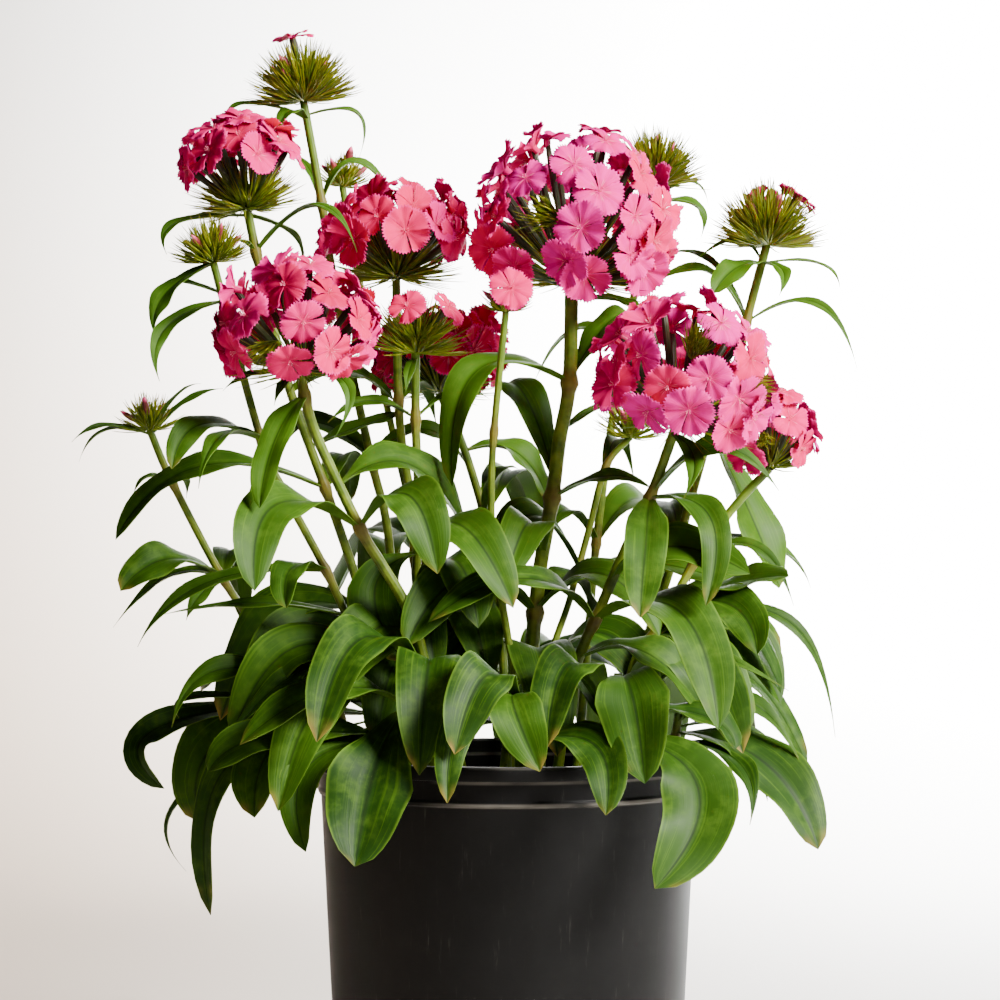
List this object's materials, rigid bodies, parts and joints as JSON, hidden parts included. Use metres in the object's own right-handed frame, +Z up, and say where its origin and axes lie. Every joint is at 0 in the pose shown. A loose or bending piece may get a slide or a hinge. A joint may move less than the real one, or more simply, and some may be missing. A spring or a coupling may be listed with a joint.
{
  "type": "potted dianthus plant",
  "caption": "Flowering dianthus (sweet william) with domed pink flower heads on leafy stems, growing in a round black plastic nursery pot.",
  "frame": {"origin": "middle of the underside of the pot, on the surface that it stands on", "axes": "+Z up along the pot's axis, +X to the right and +Y away when the plant is seen from its front"},
  "size_m": [0.3236, 0.2442, 0.4642],
  "materials": {
    "pot_plastic": "satin black plastic with light scuffs",
    "soil": "crumbly dark brown potting soil",
    "leaf": "slightly glossy green leaf and stem",
    "petal": "soft pink petals, paler at their edges",
    "bud": "dark red closed buds"
  },
  "bodies": {
    "root": {"pot": "pot_plastic", "soil": "soil", "stem_tall_left": "leaf", "stem_left": "leaf", "stem_small_left": "leaf", "stem_front_left": "leaf", "stem_middle_left": "leaf", "stem_front_middle": "leaf", "stem_behind_middle": "leaf", "stem_behind_left": "leaf", "stem_centre": "leaf", "stem_behind_right": "leaf", "stem_side": "leaf", "stem_tall_right": "leaf", "stem_front_right": "leaf", "stem_low_right": "leaf", "stem_far_left": "leaf", "stem_bud": "leaf", "shoot_left": "leaf", "shoot_left_back": "leaf", "shoot_front_left": "leaf", "shoot_front": "leaf", "shoot_front_right": "leaf", "shoot_right": "leaf", "shoot_right_back": "leaf", "shoot_back": "leaf", "blooms_left": "petal", "blooms_front_left": "petal", "blooms_middle_left": "petal", "blooms_behind_middle": "petal", "blooms_centre": "petal", "blooms_front_right": "petal", "blooms_low_right": "petal", "floret_tall_left": "petal", "floret_front_middle_left": "petal", "floret_front_middle_right": "petal", "floret_side": "petal", "floret_tall_right": "petal", "floret_tall_right_edge": "petal", "bud_tall_left": "bud", "bud_tall_right": "bud", "bud_behind_right": "bud", "bud_behind_left": "bud"}
  },
  "joints": []
}
